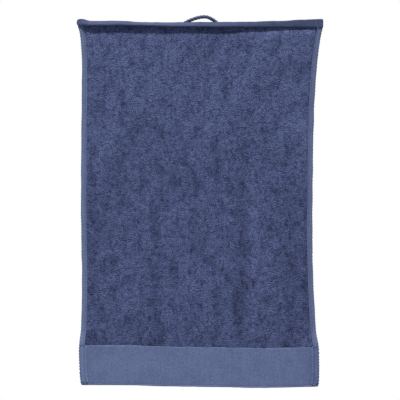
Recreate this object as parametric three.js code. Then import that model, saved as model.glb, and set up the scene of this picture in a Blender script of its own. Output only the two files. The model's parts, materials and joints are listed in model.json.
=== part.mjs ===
// A terry golf towel with a flat-woven border at its foot and a cord loop behind its top hem.
// Millimetres. The origin is the underside of the loop, where a hook bears. +Z is up, +X runs
// across the towel, and the front of the towel faces -Y. The cloth hangs in the plane y = 0.
import * as THREE from 'three';

// ---- Driving dimensions ----
const CLOTH_LENGTH = 604; // down the middle of the towel, top hem to foot
const TOP_EDGE = -1.7; // height of the cloth's top corners
const SAG = 4.4; // how much lower the middle of the top edge hangs than its corners
const HALF_WIDTH = 200; // nominal, for the sag

const PLAY = 0.3; // gap between pieces that touch
const TERRY_THICKNESS = 5; // ground cloth with its pile on both faces
const BORDER_THICKNESS = 1.5; // flat weave, no pile
const BORDER_HEIGHT = 65;

const TOP_HEM_HEIGHT = 11; // the cloth rolled forward on itself
const TOP_HEM_FRONT = -4.6;
const TOP_HEM_BACK = 2.4;
const TOP_HEM_ROUNDING = 3.2;
const SIDE_HEM_THICKNESS = 3; // the side turned in twice
const SIDE_HEM_ON_TERRY = 9; // width that the pile leaves free
const SIDE_HEM_ON_BORDER = 12.2;
const BOTTOM_HEM_HEIGHT = 3; // overlocked foot
const BOTTOM_HEM_THICKNESS = 2.4;

const THREAD = 0.8; // width of a line of stitches
const THREAD_PROUD = 0.5; // how far the thread stands up
const SIDE_SEAM_INSET = 6.6; // from the towel's edge to the side hem's stitches
const TACK_LENGTH = 8; // bar tacks at the ends of the hems
const TACK_INSET = 1.2;
const TACK_THICKNESS = 3.2; // through the side hem

const CORD_DIAMETER = 4.7;
const CORD_SIDES = 10;
const CORD_STEPS = 20;
const CORD_BEHIND = 5.1; // how far the cord's legs lie behind the cloth plane
const LOOP_HINGE_HEIGHT = -10.8; // the legs turn about this line
const LOOP_LEG_X = 28.6; // half the spread of the legs there
const CORD_END = { width: 6.6, thickness: 1.6, top: -14.6, bottom: -20.6 }; // sewn flat
const LOOP_TACK = { width: 10.4, thickness: 0.8, top: -16.2, bottom: -18.6 };

// ---- Outline ----
const FOLD_DEPTH = CLOTH_LENGTH / 2; // the towel folds in half here
const BORDER_DEPTH = CLOTH_LENGTH - BORDER_HEIGHT;
const SEAM_DEPTH = TOP_HEM_HEIGHT + PLAY; // the stitches lie in the groove under the roll
const TERRY_DEPTH = SEAM_DEPTH + THREAD + PLAY;
const FOOT_DEPTH = CLOTH_LENGTH - BOTTOM_HEM_HEIGHT;
const TACK_REACH = TACK_INSET + TACK_LENGTH;

/** Smooth step from 0 to 1 while depth goes from start to end. */
const ramp = (depth, start, end) => THREE.MathUtils.smoothstep(depth, start, end);

/** Fades from 1 at the top edge over the given depth. */
const bell = (depth, reach) => Math.exp(-((depth / reach) ** 2));

/** The left edge: it flares at the top corner and along the border, and draws in at the foot. */
function leftEdge(depth) {
  const corner = 7.6 * bell(depth, 24);
  const border = 4 * ramp(depth, 485, 545) - 3 * ramp(depth, 575, CLOTH_LENGTH);
  return -(195.6 + corner + border);
}

/** The right edge: as the left one, with a long slant below the top corner. */
function rightEdge(depth) {
  const corner = 6 * bell(depth, 32) + 12.8 * Math.exp(-depth / 90);
  const border = 10 * ramp(depth, 430, 555) - 1.5 * ramp(depth, 575, CLOTH_LENGTH);
  return 184.6 + corner + border;
}

/** The side hem's width: the pile covers part of it down to the border. */
const sideHem = (depth) => (depth < BORDER_DEPTH ? SIDE_HEM_ON_TERRY : SIDE_HEM_ON_BORDER);

const left = (inset) => (depth) => leftEdge(depth) + inset;
const right = (inset) => (depth) => rightEdge(depth) - inset;
const insideLeftHem = (depth) => leftEdge(depth) + sideHem(depth) + PLAY;
const insideRightHem = (depth) => rightEdge(depth) - sideHem(depth) - PLAY;

/** The height of a point of the cloth, which hangs lower in its middle. */
function height(x, depth) {
  return TOP_EDGE - SAG * (1 - (x / HALF_WIDTH) ** 2) - depth;
}

// ---- Shapes ----
/** Moves every vertex of a geometry to where the mapping puts it. */
function reshape(geometry, mapping) {
  const position = geometry.getAttribute('position');
  const vertex = new THREE.Vector3();
  for (let i = 0; i < position.count; i += 1) {
    vertex.fromBufferAttribute(position, i);
    mapping(vertex);
    position.setXYZ(i, vertex.x, vertex.y, vertex.z);
  }
  geometry.computeVertexNormals();
  return geometry;
}

/** Evenly spaced depths, from the top of a piece to its bottom. */
function spaced(top, bottom, rows) {
  return Array.from({ length: rows + 1 }, (_, row) => top + ((bottom - top) * row) / rows);
}

/** A slab of cloth: from and to are its sides as functions of depth, front and back its faces. */
function clothSlab({ from, to, depths, front, back, columns = 1 }) {
  const rows = depths.length - 1;
  return reshape(new THREE.BoxGeometry(1, 1, 1, columns, 1, rows), (vertex) => {
    const depth = depths[Math.round((0.5 - vertex.z) * rows)];
    const x = THREE.MathUtils.lerp(from(depth), to(depth), vertex.x + 0.5);
    vertex.set(x, THREE.MathUtils.lerp(front, back, vertex.y + 0.5), height(x, depth));
  });
}

/** A line of stitches on the front of a hem, or across the cloth. */
function threadLine({ face, ...shape }) {
  return clothSlab({ ...shape, front: face - PLAY - THREAD_PROUD, back: face - PLAY });
}

/** The rolled top hem: a rounded section carried from the left edge to the right one. */
function rolledHem(columns) {
  const section = new THREE.Shape();
  const [low, high] = [-TOP_HEM_HEIGHT + TOP_HEM_ROUNDING, -TOP_HEM_ROUNDING];
  const [front, back] = [TOP_HEM_FRONT + TOP_HEM_ROUNDING, TOP_HEM_BACK - TOP_HEM_ROUNDING];
  const corners = [[back, low, -0.5], [back, high, 0], [front, high, 0.5], [front, low, 1]];
  for (const [y, z, quarter] of corners) {
    section.absarc(y, z, TOP_HEM_ROUNDING, quarter * Math.PI, (quarter + 0.5) * Math.PI);
  }
  const roll = new THREE.ExtrudeGeometry(section, {
    depth: 1, steps: columns, curveSegments: 2, bevelEnabled: false,
  });
  return reshape(roll, (vertex) => {
    const depth = -vertex.y;
    const x = THREE.MathUtils.lerp(leftEdge(depth), rightEdge(depth), vertex.z);
    vertex.set(x, vertex.x, height(x, depth));
  });
}

/** The loop's centre line, from the left leg's seam over the hem to the right leg's seam. */
const LOOP_ROUTE = [
  [-LOOP_LEG_X, CORD_BEHIND, LOOP_HINGE_HEIGHT],
  [-27.3, 5.1, -9.5],
  [-25.3, 5.0, -8.0],
  [-22.9, 4.8, -6.3],
  [-19.6, 4.2, -4.1],
  [-15.9, 3.4, -2.2],
  [-12.0, 2.6, -0.7],
  [-7.9, 1.8, 0.7],
  [-3.6, 1.1, 1.8],
  [0.7, 0.6, 2.4],
  [5.0, 0.4, 2.6],
  [9.2, 0.7, 2.0],
  [12.9, 1.5, 0.5],
  [16.3, 2.5, -1.5],
  [19.5, 3.5, -3.7],
  [22.4, 4.3, -5.8],
  [25.0, 4.8, -7.7],
  [27.2, 5.1, -9.3],
  [LOOP_LEG_X, CORD_BEHIND, LOOP_HINGE_HEIGHT],
];

/** The cord of the loop, as a plain tube. */
function loopCord() {
  const section = new THREE.Shape();
  for (let side = 0; side < CORD_SIDES; side += 1) {
    const angle = (2 * Math.PI * side) / CORD_SIDES;
    const [x, y] = [Math.cos(angle), Math.sin(angle)].map((part) => (part * CORD_DIAMETER) / 2);
    if (side === 0) section.moveTo(x, y);
    else section.lineTo(x, y);
  }
  const route = new THREE.CatmullRomCurve3(LOOP_ROUTE.map((point) => new THREE.Vector3(...point)));
  return new THREE.ExtrudeGeometry(section, { steps: CORD_STEPS, extrudePath: route });
}

/** A small block on the towel's back, centred on x, with its near face at the given distance. */
function backBlock({ width, thickness, top, bottom }, x, near) {
  const block = new THREE.BoxGeometry(width, thickness, top - bottom);
  return block.translate(x, near + thickness / 2, (top + bottom) / 2);
}

// ---- Finishes ----
const FINISHES = {
  terry: { color: '#464e70', roughness: 1 },
  flatWeave: { color: '#5e6a8d', roughness: 0.9 },
  hem: { color: '#60698c', roughness: 0.9 },
  thread: { color: '#3f4a6e', roughness: 0.7 },
  cord: { color: '#343c5c', roughness: 0.8 },
};

/** One named piece with a finish of its own. */
function piece(name, geometry, finish) {
  const material = new THREE.MeshStandardMaterial({ ...FINISHES[finish], metalness: 0 });
  const mesh = new THREE.Mesh(geometry, material);
  mesh.name = name;
  return mesh;
}

// ---- Pieces ----
const towel = new THREE.Group();

/** Half of the towel's length: its terry, side hems and side seams, at the given depths. */
function addHalf(half, terryDepths, borderDepths = []) {
  towel.add(piece(`terry_field_${half}`, clothSlab({
    from: insideLeftHem, to: insideRightHem, depths: terryDepths,
    front: -TERRY_THICKNESS / 2, back: TERRY_THICKNESS / 2, columns: 16,
  }), 'terry'));
  const depths = [...terryDepths, ...borderDepths];
  const sides = {
    left: { from: left(0), to: (depth) => leftEdge(depth) + sideHem(depth) },
    right: { from: (depth) => rightEdge(depth) - sideHem(depth), to: right(0) },
  };
  const seams = {
    left: { from: left(SIDE_SEAM_INSET), to: left(SIDE_SEAM_INSET + THREAD) },
    right: { from: right(SIDE_SEAM_INSET + THREAD), to: right(SIDE_SEAM_INSET) },
  };
  for (const side of ['left', 'right']) {
    towel.add(piece(`${side}_side_hem_${half}`, clothSlab({
      ...sides[side], depths, front: -SIDE_HEM_THICKNESS / 2, back: SIDE_HEM_THICKNESS / 2,
    }), 'hem'));
    towel.add(piece(`${side}_hem_stitching_${half}`, threadLine({
      ...seams[side], depths, face: -SIDE_HEM_THICKNESS / 2,
    }), 'thread'));
  }
}

/** A bar tack at each end of a hem, between the hem and the ends of the side hems. */
function addCornerTacks(end, depth) {
  const spans = {
    left: { from: left(TACK_INSET), to: left(TACK_REACH) },
    right: { from: right(TACK_REACH), to: right(TACK_INSET) },
  };
  for (const side of ['left', 'right']) {
    towel.add(piece(`${end}_${side}_corner_tack`, clothSlab({
      ...spans[side], depths: [depth, depth + THREAD],
      front: -TACK_THICKNESS / 2, back: TACK_THICKNESS / 2,
    }), 'thread'));
  }
}

addHalf('upper', spaced(TERRY_DEPTH, FOLD_DEPTH - PLAY / 2, 20));
addHalf('lower', spaced(FOLD_DEPTH + PLAY / 2, BORDER_DEPTH - PLAY, 14),
  spaced(BORDER_DEPTH, FOOT_DEPTH - PLAY - THREAD - PLAY, 5));
addCornerTacks('top', SEAM_DEPTH);
addCornerTacks('bottom', FOOT_DEPTH - PLAY - THREAD);

towel.add(piece('top_hem', rolledHem(24), 'hem'));
towel.add(piece('top_hem_stitching', clothSlab({
  from: left(TACK_REACH + PLAY), to: right(TACK_REACH + PLAY),
  depths: [SEAM_DEPTH, SEAM_DEPTH + THREAD], front: -1, back: 1, columns: 24,
}), 'thread'));

towel.add(piece('woven_border', clothSlab({
  from: insideLeftHem, to: insideRightHem, depths: spaced(BORDER_DEPTH, FOOT_DEPTH - PLAY, 5),
  front: -BORDER_THICKNESS / 2, back: BORDER_THICKNESS / 2, columns: 16,
}), 'flatWeave'));
towel.add(piece('bottom_hem', clothSlab({
  from: left(0), to: right(0), depths: [FOOT_DEPTH, CLOTH_LENGTH],
  front: -BOTTOM_HEM_THICKNESS / 2, back: BOTTOM_HEM_THICKNESS / 2, columns: 16,
}), 'hem'));
towel.add(piece('bottom_hem_stitching', threadLine({
  from: insideLeftHem, to: insideRightHem, face: -BORDER_THICKNESS / 2,
  depths: [FOOT_DEPTH - 2 * THREAD, FOOT_DEPTH - THREAD], columns: 16,
}), 'thread'));

towel.add(piece('hanging_loop', loopCord(), 'cord'));
for (const [side, sign] of [['left', -1], ['right', 1]]) {
  const endNear = TERRY_THICKNESS / 2 + PLAY;
  const tackNear = endNear + CORD_END.thickness + PLAY;
  towel.add(piece(`${side}_loop_end`, backBlock(CORD_END, sign * LOOP_LEG_X, endNear), 'cord'));
  towel.add(piece(`${side}_loop_tack`, backBlock(LOOP_TACK, sign * LOOP_LEG_X, tackNear), 'thread'));
}

export default towel;
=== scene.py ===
"""A terry golf towel hanging by its cord loop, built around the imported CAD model.

The cloth hangs in the plane y = 0 with its front towards -Y. Every length is in metres. Places on the
cloth are given as x, across the towel, and depth, the distance below its top edge.
"""
import json
import logging
import math
from dataclasses import dataclass, field
from enum import Enum
from typing import Callable, Iterable, Sequence

import bmesh
import bpy
import numpy as np
from mathutils import Matrix, Vector


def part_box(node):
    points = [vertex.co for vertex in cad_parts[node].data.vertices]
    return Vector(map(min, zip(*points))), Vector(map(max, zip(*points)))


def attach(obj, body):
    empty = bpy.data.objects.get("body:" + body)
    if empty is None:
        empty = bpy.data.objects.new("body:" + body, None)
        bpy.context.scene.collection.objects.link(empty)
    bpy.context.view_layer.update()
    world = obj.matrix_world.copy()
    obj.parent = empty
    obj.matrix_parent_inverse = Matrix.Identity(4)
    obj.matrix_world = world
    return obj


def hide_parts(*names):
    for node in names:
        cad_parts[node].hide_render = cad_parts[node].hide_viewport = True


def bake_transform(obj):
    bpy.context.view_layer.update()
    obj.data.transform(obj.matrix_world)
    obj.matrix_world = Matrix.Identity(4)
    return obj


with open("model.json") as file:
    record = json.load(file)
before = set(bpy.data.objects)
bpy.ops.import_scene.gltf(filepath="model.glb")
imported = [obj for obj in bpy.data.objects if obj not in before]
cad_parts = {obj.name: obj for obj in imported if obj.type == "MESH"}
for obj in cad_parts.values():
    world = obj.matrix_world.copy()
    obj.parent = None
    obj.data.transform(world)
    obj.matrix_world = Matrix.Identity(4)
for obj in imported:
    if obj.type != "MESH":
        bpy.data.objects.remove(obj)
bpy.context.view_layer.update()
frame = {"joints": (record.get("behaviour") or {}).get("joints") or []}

LOG = logging.getLogger("golf_towel")
MM = 0.001
CLOTH_UV = "cloth"


class Side(Enum):
    """A long side of the towel, as seen from the front."""

    LEFT = -1
    RIGHT = 1


class Face(Enum):
    """A face of the cloth, by the sign of its direction along Y."""

    FRONT = -1
    BACK = 1


class Body(str, Enum):
    """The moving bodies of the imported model."""

    UPPER = "upper_cloth"
    LOWER = "lower_cloth"
    LOOP = "loop"


# ---------------------------------------------------------------------------------------------
# Numbers and noise
# ---------------------------------------------------------------------------------------------
def smooth_step(value: np.ndarray, start: float, end: float) -> np.ndarray:
    """Return 0 before start, 1 after end, and a smooth rise between them."""
    share = np.clip((np.asarray(value, float) - start) / (end - start), 0.0, 1.0)
    return share * share * (3.0 - 2.0 * share)


def bell(distance: np.ndarray, width: float) -> np.ndarray:
    """Return 1 at no distance, falling smoothly to nothing over about twice the width."""
    return np.exp(-((distance / width) ** 2))


def round_end(distance: np.ndarray, radius: float) -> np.ndarray:
    """Return the height of a round end, 0 at its tip and 1 from its radius inwards."""
    return np.sqrt(1.0 - (1.0 - np.clip(distance / radius, 0.0, 1.0)) ** 2)


@dataclass(frozen=True)
class Unevenness:
    """Seeded smooth noise in two directions, from -1 to 1."""

    size: float
    seed: int
    stretch: float = 1.0
    lattice: int = 256

    def at(self, x: np.ndarray, depth: np.ndarray) -> np.ndarray:
        """Evaluate the noise.

        Args:
            x: Distances across the cloth.
            depth: Distances down the cloth, which the noise is stretched along.

        Returns:
            One value for each place.
        """
        table = np.random.default_rng(self.seed).uniform(-1.0, 1.0, (self.lattice, self.lattice))
        turn = 0.35 * self.seed  # each layer's lattice lies at its own angle
        across = np.asarray(x, float) / self.size
        down = np.asarray(depth, float) / (self.size * self.stretch)
        u = across * math.cos(turn) - down * math.sin(turn)
        v = across * math.sin(turn) + down * math.cos(turn)
        i, j = np.floor(u).astype(int), np.floor(v).astype(int)
        fu, fv = smooth_step(u - i, 0.0, 1.0), smooth_step(v - j, 0.0, 1.0)

        def corner(di: int, dj: int) -> np.ndarray:
            """Return the lattice's value at a corner of each cell."""
            return table[(i + di) % self.lattice, (j + dj) % self.lattice]

        near = corner(0, 0) * (1 - fu) + corner(1, 0) * fu
        far = corner(0, 1) * (1 - fu) + corner(1, 1) * fu
        return near * (1 - fv) + far * fv


# ---------------------------------------------------------------------------------------------
# The cloth's outline and drape
# ---------------------------------------------------------------------------------------------
@dataclass(frozen=True)
class Curve:
    """A smooth line through knots, each a place along it and a value, in millimetres.

    A value that isn't a length, such as a tone, is given in thousandths.
    """

    knots: tuple[tuple[float, float], ...]
    ease: int = 11

    def at(self, place: np.ndarray) -> np.ndarray:
        """Return the line's value in metres at each place in metres."""
        knots = np.array(self.knots, float) * MM
        dense = np.arange(knots[0, 0], knots[-1, 0], MM)
        window = np.hanning(self.ease + 2)[1:-1]
        padded = np.pad(np.interp(dense, knots[:, 0], knots[:, 1]), self.ease // 2, mode="edge")
        eased = np.convolve(padded, window / window.sum(), mode="valid")
        return np.interp(np.asarray(place, float), dense, eased)


@dataclass(frozen=True)
class Outline:
    """Where the hanging cloth's edges run."""

    top: float = field(default_factory=lambda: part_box("top_hem")[1].z)
    length: float = 0.604
    border_depth: float = 0.539
    sag: float = 0.0044
    half_width: float = 0.200
    left_edge: Curve = Curve((
        (0, -202.9), (3.3, -202.9), (8.2, -202.6), (13.2, -201.6), (18.1, -199.7), (23.1, -198.3),
        (28, -197.6), (34.6, -196.6), (47.8, -196.0), (67.6, -194.9), (117, -194.9), (142, -195.2),
        (167, -196.0), (290, -196.5), (365, -196.0), (401, -194.9), (439, -194.9), (464, -195.2),
        (513, -196.5), (532, -198.9), (545, -199.5), (563, -199.3), (587, -198.3), (596, -197.1),
        (604, -196.0)))
    right_edge: Curve = Curve((
        (0, 203.6), (8.2, 203.3), (13.2, 203.0), (18.1, 201.8), (23.1, 200.5), (28, 199.6), (33, 198.5),
        (38, 197.9), (47.8, 196.3), (57.7, 195.0), (67.6, 193.7), (92.3, 191.6), (117, 189.9),
        (142, 188.6), (167, 187.8), (191, 186.9), (216, 186.6), (266, 186.2), (315, 185.6), (365, 185.2),
        (389, 185.9), (414, 186.5), (439, 187.2), (464, 188.4), (488, 189.9), (513, 191.7), (532, 195.2),
        (545, 196.1), (563, 196.4), (587, 196.4), (596, 196.0), (604, 194.8)))
    foot_sag: Curve = Curve((
        (-203, 0.0), (-108, 0.3), (-70, 1.8), (0, 2.9), (50, 3.6), (80, 4.6), (115, 4.5), (155, 3.7),
        (203, 2.2)), ease=31)

    def inset(self, side: Side, depth: np.ndarray, distance: np.ndarray) -> np.ndarray:
        """Return x at a distance inwards from a side edge."""
        if side is Side.LEFT:
            return self.left_edge.at(depth) + distance
        return self.right_edge.at(depth) - distance

    def between(self, share: np.ndarray, depth: np.ndarray, rim: float) -> tuple[np.ndarray, ...]:
        """Find places between two rims that run along the side edges.

        Args:
            share: How far across from the left rim to the right one, from 0 to 1.
            depth: Distances down the towel.
            rim: The distance of both rims from the edges.

        Returns:
            x of each place, and its distances from the left rim and from the right one.
        """
        left, right = (self.inset(side, depth, rim) for side in Side)
        x = left + (right - left) * share
        return x, x - left, right - x

    def height(self, x: np.ndarray, depth: np.ndarray) -> np.ndarray:
        """Return z of a place on the cloth, which hangs lower in its middle."""
        low = smooth_step(depth, 0.05, 0.53)
        even = self.sag * (1.0 - (np.asarray(x) / self.half_width) ** 2)
        return self.top - even * (1.0 - low) - self.foot_sag.at(x) * low - depth


class Drape:
    """How far the hanging cloth waves in and out of its plane, from a cloth simulation."""

    smoothing = 10

    def __init__(self, outline: Outline, columns: int = 36, rows: int = 54) -> None:
        """Hang a coarse copy of the cloth and keep what its points do.

        Args:
            outline: The towel's outline.
            columns: Cells of the copy across the towel.
            rows: Cells of the copy down the towel.
        """
        self.outline, self.columns, self.rows = outline, columns, rows
        self.fold_depth = outline.top - joint_place("fold_in_half").z - 0.5 * outline.sag
        self.waves = self._limited(self._hang())
        LOG.info("drape: %.1f to %.1f mm", self.waves.min() / MM, self.waves.max() / MM)

    def _hang(self, frames: int = 36, gather: float = 0.012, hem_wave: float = 0.0016) -> np.ndarray:
        """Simulate the cloth hanging from its hem, which draws in and waves a little.

        Args:
            frames: Steps of the simulation.
            gather: Share by which the hem draws the cloth's top in.
            hem_wave: Height of the hem's own waves.

        Returns:
            The y of each point, row by row from the top.
        """
        bm = bmesh.new()
        bmesh.ops.create_grid(bm, x_segments=self.columns, y_segments=self.rows, size=0.5)
        mesh = taken_over(bm)
        share = read_points(mesh)[:, :2] + 0.5
        depth = (1.0 - share[:, 1]) * self.outline.length
        x = (share[:, 0] - 0.5) * 2.0 * self.outline.half_width
        flat = np.stack([x, np.zeros_like(x), self.outline.top - depth], axis=1)
        write_points(mesh, flat)
        cloth = bpy.data.objects.new("hanging_copy", mesh)
        bpy.context.scene.collection.objects.link(cloth)
        hem = depth < 0.5 * self.outline.length / self.rows
        cloth.vertex_groups.new(name="hem").add(np.flatnonzero(hem).tolist(), 1.0, "ADD")
        cloth.shape_key_add(name="flat")
        drawn = cloth.shape_key_add(name="drawn_in")
        waved = flat.copy()
        waved[:, 0] *= 1.0 - gather
        waved[:, 1] = hem_wave * np.sin(x / 0.0145 + 1.1) + 0.5 * hem_wave * np.sin(x / 0.0069)
        drawn.data.foreach_set("co", waved.ravel())
        for time, value in ((1, 0.0), (frames // 3, 1.0)):
            drawn.value = value
            drawn.keyframe_insert("value", frame=time)
        cloth_modifier = cloth.modifiers.new("hang", "CLOTH")
        settings = cloth_modifier.settings
        settings.quality, settings.mass, settings.air_damping = 6, 0.35, 2.0
        settings.tension_stiffness = settings.compression_stiffness = 20.0
        settings.shear_stiffness, settings.bending_stiffness = 6.0, 4.0
        settings.vertex_group_mass = "hem"
        cloth_modifier.point_cache.frame_end = frames
        scene = bpy.context.scene
        for time in range(1, frames + 1):
            scene.frame_set(time)
        settled = cloth.evaluated_get(bpy.context.evaluated_depsgraph_get())
        places = read_points(settled.data)
        scene.frame_set(1)
        action = mesh.shape_keys.animation_data.action
        bpy.data.objects.remove(cloth)
        bpy.data.meshes.remove(mesh)
        bpy.data.actions.remove(action)
        order = np.lexsort((x, depth))
        return places[order, 1].reshape(self.rows + 1, self.columns + 1)

    def _limited(self, waves: np.ndarray, most: float = 0.0013, at_fold: float = 0.12) -> np.ndarray:
        """Keep the waves small, and smaller still beside the fold and behind the loop.

        Args:
            waves: The y of each simulated point.
            most: The furthest that a point may stand from the plane.
            at_fold: What is left of the waves at the fold.

        Returns:
            The limited waves.
        """
        for _ in range(self.smoothing):
            padded = np.pad(waves, 1, mode="edge")
            waves = 0.5 * waves + 0.125 * (padded[:-2, 1:-1] + padded[2:, 1:-1]
                                           + padded[1:-1, :-2] + padded[1:-1, 2:])
        waves = most * np.tanh((waves - waves.mean()) / most)
        depth = np.linspace(0.0, self.outline.length, self.rows + 1)
        away = smooth_step(np.abs(depth - self.fold_depth), 0.005, 0.10)
        x = np.linspace(-self.outline.half_width, self.outline.half_width, self.columns + 1)
        loop = bell(depth, 0.04)[:, None] * bell(x, 0.055)[None, :]
        foot = 1.0 - 0.85 * smooth_step(depth, 0.45, 0.53)
        return waves * (foot * (at_fold + (1.0 - at_fold) * away))[:, None] * (1.0 - 0.9 * loop)

    def at(self, x: np.ndarray, depth: np.ndarray) -> np.ndarray:
        """Return y of the cloth's middle plane at each place, smooth between simulated points."""
        u = (np.asarray(x, float) / self.outline.half_width + 1.0) * 0.5 * self.columns
        v = np.asarray(depth, float) / self.outline.length * self.rows
        u, v = np.clip(u, 0.0, self.columns), np.clip(v, 0.0, self.rows)
        i, j = np.floor(u).astype(int), np.floor(v).astype(int)
        total = np.zeros(np.broadcast(u, v).shape)
        for dj, weight_v in enumerate(cubic_weights(v - j), start=-1):
            for di, weight_u in enumerate(cubic_weights(u - i), start=-1):
                row = np.clip(j + dj, 0, self.rows)
                column = np.clip(i + di, 0, self.columns)
                total = total + weight_v * weight_u * self.waves[row, column]
        return total


def cubic_weights(share: np.ndarray) -> tuple[np.ndarray, ...]:
    """Return the four smooth weights of the points round a place between two of them."""
    s = share
    return (
        (1.0 - s) ** 3 / 6.0,
        (3.0 * s**3 - 6.0 * s**2 + 4.0) / 6.0,
        (-3.0 * s**3 + 3.0 * s**2 + 3.0 * s + 1.0) / 6.0,
        s**3 / 6.0,
    )


def joint_place(name: str) -> Vector:
    """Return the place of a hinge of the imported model."""
    return Vector(next(joint["pos_m"] for joint in frame["joints"] if joint["name"] == name))


# ---------------------------------------------------------------------------------------------
# Meshes
# ---------------------------------------------------------------------------------------------
def taken_over(bm: bmesh.types.BMesh) -> bpy.types.Mesh:
    """Return a bmesh as a new mesh, and free it."""
    mesh = bpy.data.meshes.new("mesh")
    bm.to_mesh(mesh)
    bm.free()
    return mesh


def read_points(mesh: bpy.types.Mesh) -> np.ndarray:
    """Return the mesh's vertex places, one row each."""
    places = np.empty(len(mesh.vertices) * 3, np.float32)
    mesh.vertices.foreach_get("co", places)
    return places.reshape(-1, 3).astype(float)


def write_points(mesh: bpy.types.Mesh, places: np.ndarray) -> None:
    """Set the mesh's vertex places."""
    mesh.vertices.foreach_set("co", np.asarray(places, np.float32).ravel())
    mesh.update()


def write_value(mesh: bpy.types.Mesh, name: str, values: np.ndarray) -> None:
    """Give every vertex of the mesh a named number."""
    attribute = mesh.attributes.new(name, "FLOAT", "POINT")
    attribute.data.foreach_set("value", np.asarray(values, np.float32).ravel())


def write_uv(mesh: bpy.types.Mesh, across: np.ndarray, down: np.ndarray) -> None:
    """Give the mesh a UV map in metres from two numbers for each vertex."""
    corner = np.empty(len(mesh.loops), np.int32)
    mesh.loops.foreach_get("vertex_index", corner)
    layer = mesh.uv_layers.get(CLOTH_UV) or mesh.uv_layers.new(name=CLOTH_UV)
    places = np.stack([across[corner], down[corner]], axis=1).astype(np.float32)
    layer.data.foreach_set("uv", places.ravel())


def finish_object(name: str, mesh: bpy.types.Mesh, material: bpy.types.Material,
                  smooth: bool = True) -> bpy.types.Object:
    """Link a mesh as a named piece.

    Args:
        name: The piece's name.
        mesh: Its mesh, with places in the row frame.
        material: Its material.
        smooth: Whether its faces are shaded smooth.

    Returns:
        The new object.
    """
    mesh.name = name
    mesh.materials.append(material)
    mesh.polygons.foreach_set("use_smooth", [smooth] * len(mesh.polygons))
    piece = bpy.data.objects.new(name, mesh)
    bpy.context.scene.collection.objects.link(piece)
    LOG.info("%s: %d faces", name, len(mesh.polygons))
    return piece


@dataclass
class Strip:
    """A panel of cloth with stations across and down, either one surface or a closed slab."""

    across: Sequence[float]
    down: Sequence[float]
    closed: bool = True

    def mesh(self) -> tuple[bpy.types.Mesh, np.ndarray, np.ndarray, np.ndarray]:
        """Make the panel's mesh.

        Returns:
            The mesh, and for each vertex its station across, its station down, and its layer,
            which is 0 on the front and 1 on the back.
        """
        columns, rows = len(self.across) - 1, len(self.down) - 1
        bm = bmesh.new()
        bmesh.ops.create_grid(bm, x_segments=columns, y_segments=rows, size=0.5)
        if self.closed:
            bmesh.ops.solidify(bm, geom=bm.faces[:], thickness=1.0)
        bmesh.ops.recalc_face_normals(bm, faces=bm.faces[:])
        mesh = taken_over(bm)
        places = read_points(mesh)
        column = np.rint((places[:, 0] + 0.5) * columns).astype(int)
        row = np.rint((0.5 - places[:, 1]) * rows).astype(int)
        layer = (np.abs(places[:, 2]) > 0.5).astype(int)
        return mesh, np.asarray(self.across)[column], np.asarray(self.down)[row], layer


def walked_along(path: np.ndarray) -> np.ndarray:
    """Return the distance along a path at each of its places."""
    return np.concatenate([[0.0], np.cumsum(np.linalg.norm(np.diff(path, axis=0), axis=1))])


def smooth_path(points: Sequence[Sequence[float]], spacing: float) -> np.ndarray:
    """Carry a smooth curve through points.

    Args:
        points: The places that the curve passes through.
        spacing: The distance between the places that come back.

    Returns:
        Evenly spaced places along the curve.
    """
    knots = np.asarray(points, float)
    ends = np.vstack([2 * knots[0] - knots[1], knots, 2 * knots[-1] - knots[-2]])
    share = np.linspace(0.0, 1.0, 24, endpoint=False)[:, None]
    dense = []
    for a, b, c, d in zip(ends, ends[1:], ends[2:], ends[3:]):
        dense.append(0.5 * (2 * b + (c - a) * share + (2 * a - 5 * b + 4 * c - d) * share**2
                            + (3 * b - a - 3 * c + d) * share**3))
    dense = np.vstack([*dense, knots[-1:]])
    walked = walked_along(dense)
    count = max(2, round(walked[-1] / spacing) + 1)
    even = np.linspace(0.0, walked[-1], count)
    return np.stack([np.interp(even, walked, dense[:, k]) for k in range(3)], axis=1)


def path_frames(path: np.ndarray) -> tuple[np.ndarray, np.ndarray]:
    """Return two directions square to a path at each of its places, carried without twist."""
    tangents = np.gradient(path, axis=0)
    tangents /= np.linalg.norm(tangents, axis=1, keepdims=True)
    guide = np.array([0.0, 1.0, 0.0]) if abs(tangents[0][1]) < 0.9 else np.array([1.0, 0.0, 0.0])
    normals = np.empty_like(path)
    for k, tangent in enumerate(tangents):
        guide = guide - tangent * (guide @ tangent)
        guide = guide / np.linalg.norm(guide)
        normals[k] = guide
    return normals, np.cross(tangents, normals)


def swept_mesh(rings: np.ndarray, around: np.ndarray, along: np.ndarray,
               values: dict[str, np.ndarray] | None = None) -> bpy.types.Mesh:
    """Make a closed tube from a row of closed sections.

    Args:
        rings: The places of each section, as sections by places by 3.
        around: The first UV number of each place of a section, and of the first place met again.
        along: The second UV number of each section.
        values: Named numbers for each section by place.

    Returns:
        The tube, with its ends filled and its faces outwards.
    """
    steps, sides = rings.shape[0] - 1, rings.shape[1]
    bm = bmesh.new()
    bmesh.ops.create_grid(bm, x_segments=steps, y_segments=sides, size=0.5)
    mesh = bpy.data.meshes.new("tube")
    bm.to_mesh(mesh)
    bm.clear()
    share = read_points(mesh) + 0.5
    i = np.rint(share[:, 0] * steps).astype(int)
    j = np.rint(share[:, 1] * sides).astype(int)
    write_points(mesh, rings[i, j % sides])
    write_uv(mesh, np.asarray(around)[j], np.asarray(along)[i])
    for name, numbers in (values or {}).items():
        write_value(mesh, name, numbers[i, j % sides])
    bm.from_mesh(mesh)
    bmesh.ops.remove_doubles(bm, verts=bm.verts[:], dist=1e-7)
    bmesh.ops.holes_fill(bm, edges=[edge for edge in bm.edges if edge.is_boundary], sides=0)
    bmesh.ops.recalc_face_normals(bm, faces=bm.faces[:])
    bm.to_mesh(mesh)
    bm.free()
    return mesh


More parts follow.
